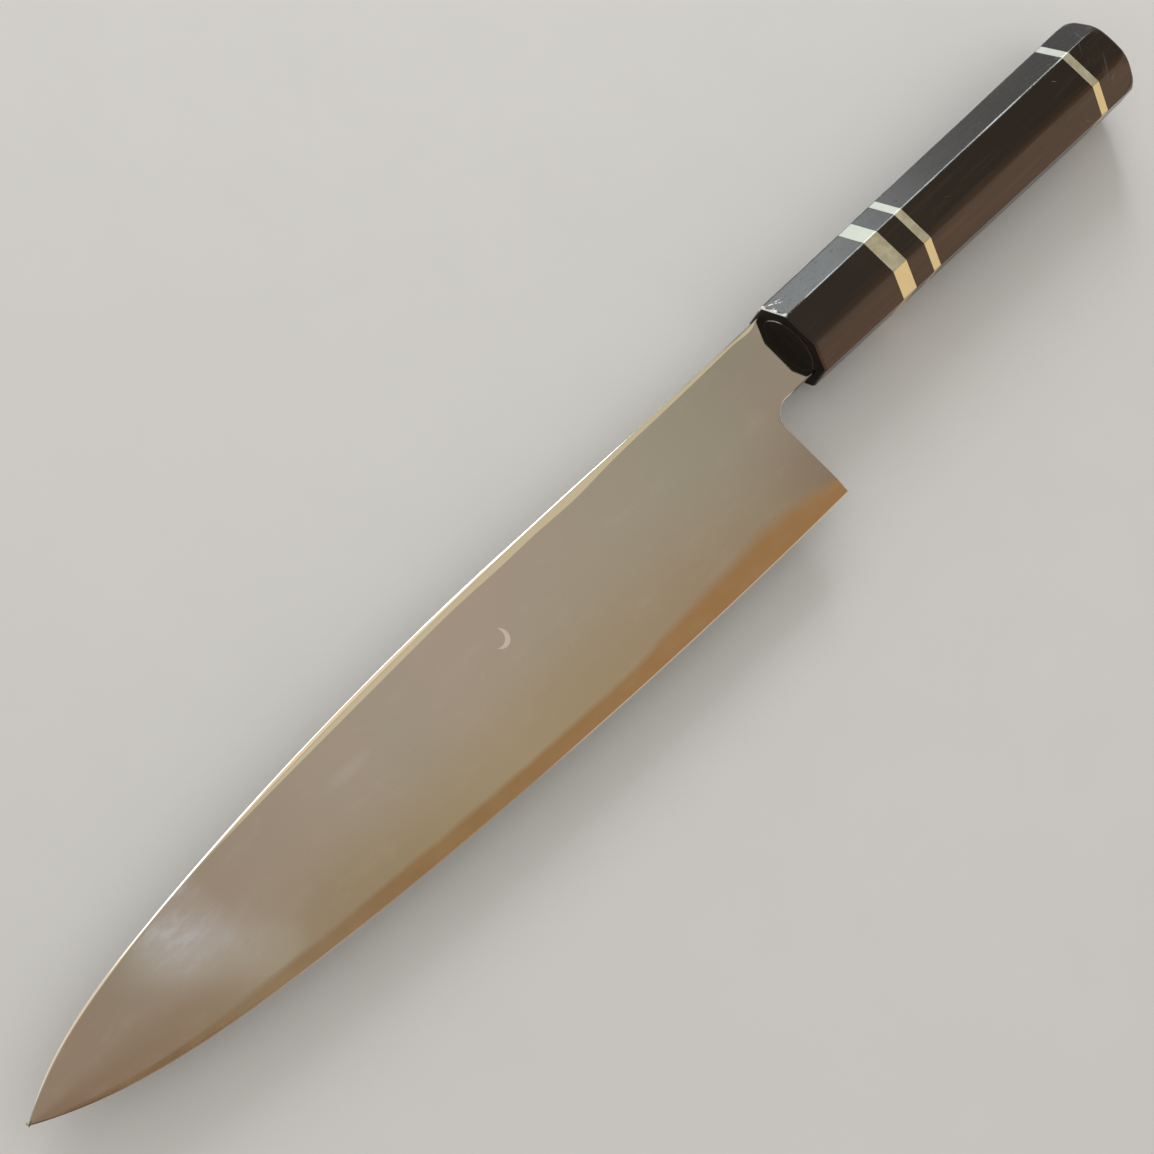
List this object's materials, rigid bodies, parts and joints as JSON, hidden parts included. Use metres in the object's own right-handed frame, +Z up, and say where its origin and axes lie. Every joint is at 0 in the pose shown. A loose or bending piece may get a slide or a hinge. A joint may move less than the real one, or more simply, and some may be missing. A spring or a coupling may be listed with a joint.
{
  "type": "chef knife",
  "caption": "Japanese-pattern chef's knife: a long forged double-bevel steel blade with a hidden tang in an octagonal ebony handle banded with silver rings",
  "frame": {"origin": "under the middle of the knife's box as it lies on its side, at the level of the lowest point of the handle's under face", "axes": "+X from the tip to the butt, +Y from the edge to the spine, +Z up through the thickness, square to the blade's middle plane"},
  "size_m": [0.435, 0.0524, 0.0233],
  "materials": {
    "blade_steel": "mirror polished with fine stone lines along the blade, a hazy band along the edge and an eased, polished spine",
    "ebony": "sanded fine and oiled to a gloss, with faint brown streaks and pores along the grain",
    "ring_silver": "satin nickel silver, flush with the wood, lightly mottled",
    "dowel_wood": "plain planed magnolia wood, hidden inside the handle",
    "seal_resin": "dark hard resin, wiped flush with the boss"
  },
  "bodies": {
    "root": {"blade": "blade_steel", "tang_seal": "seal_resin", "ferrule": "ebony", "wide_ring": "ring_silver", "spacer": "ebony", "narrow_ring": "ring_silver", "grip": "ebony", "rear_ring": "ring_silver", "butt_cap": "ebony", "core_dowel_upper": "dowel_wood", "core_dowel_lower": "dowel_wood", "butt_dowel": "dowel_wood"}
  },
  "joints": []
}
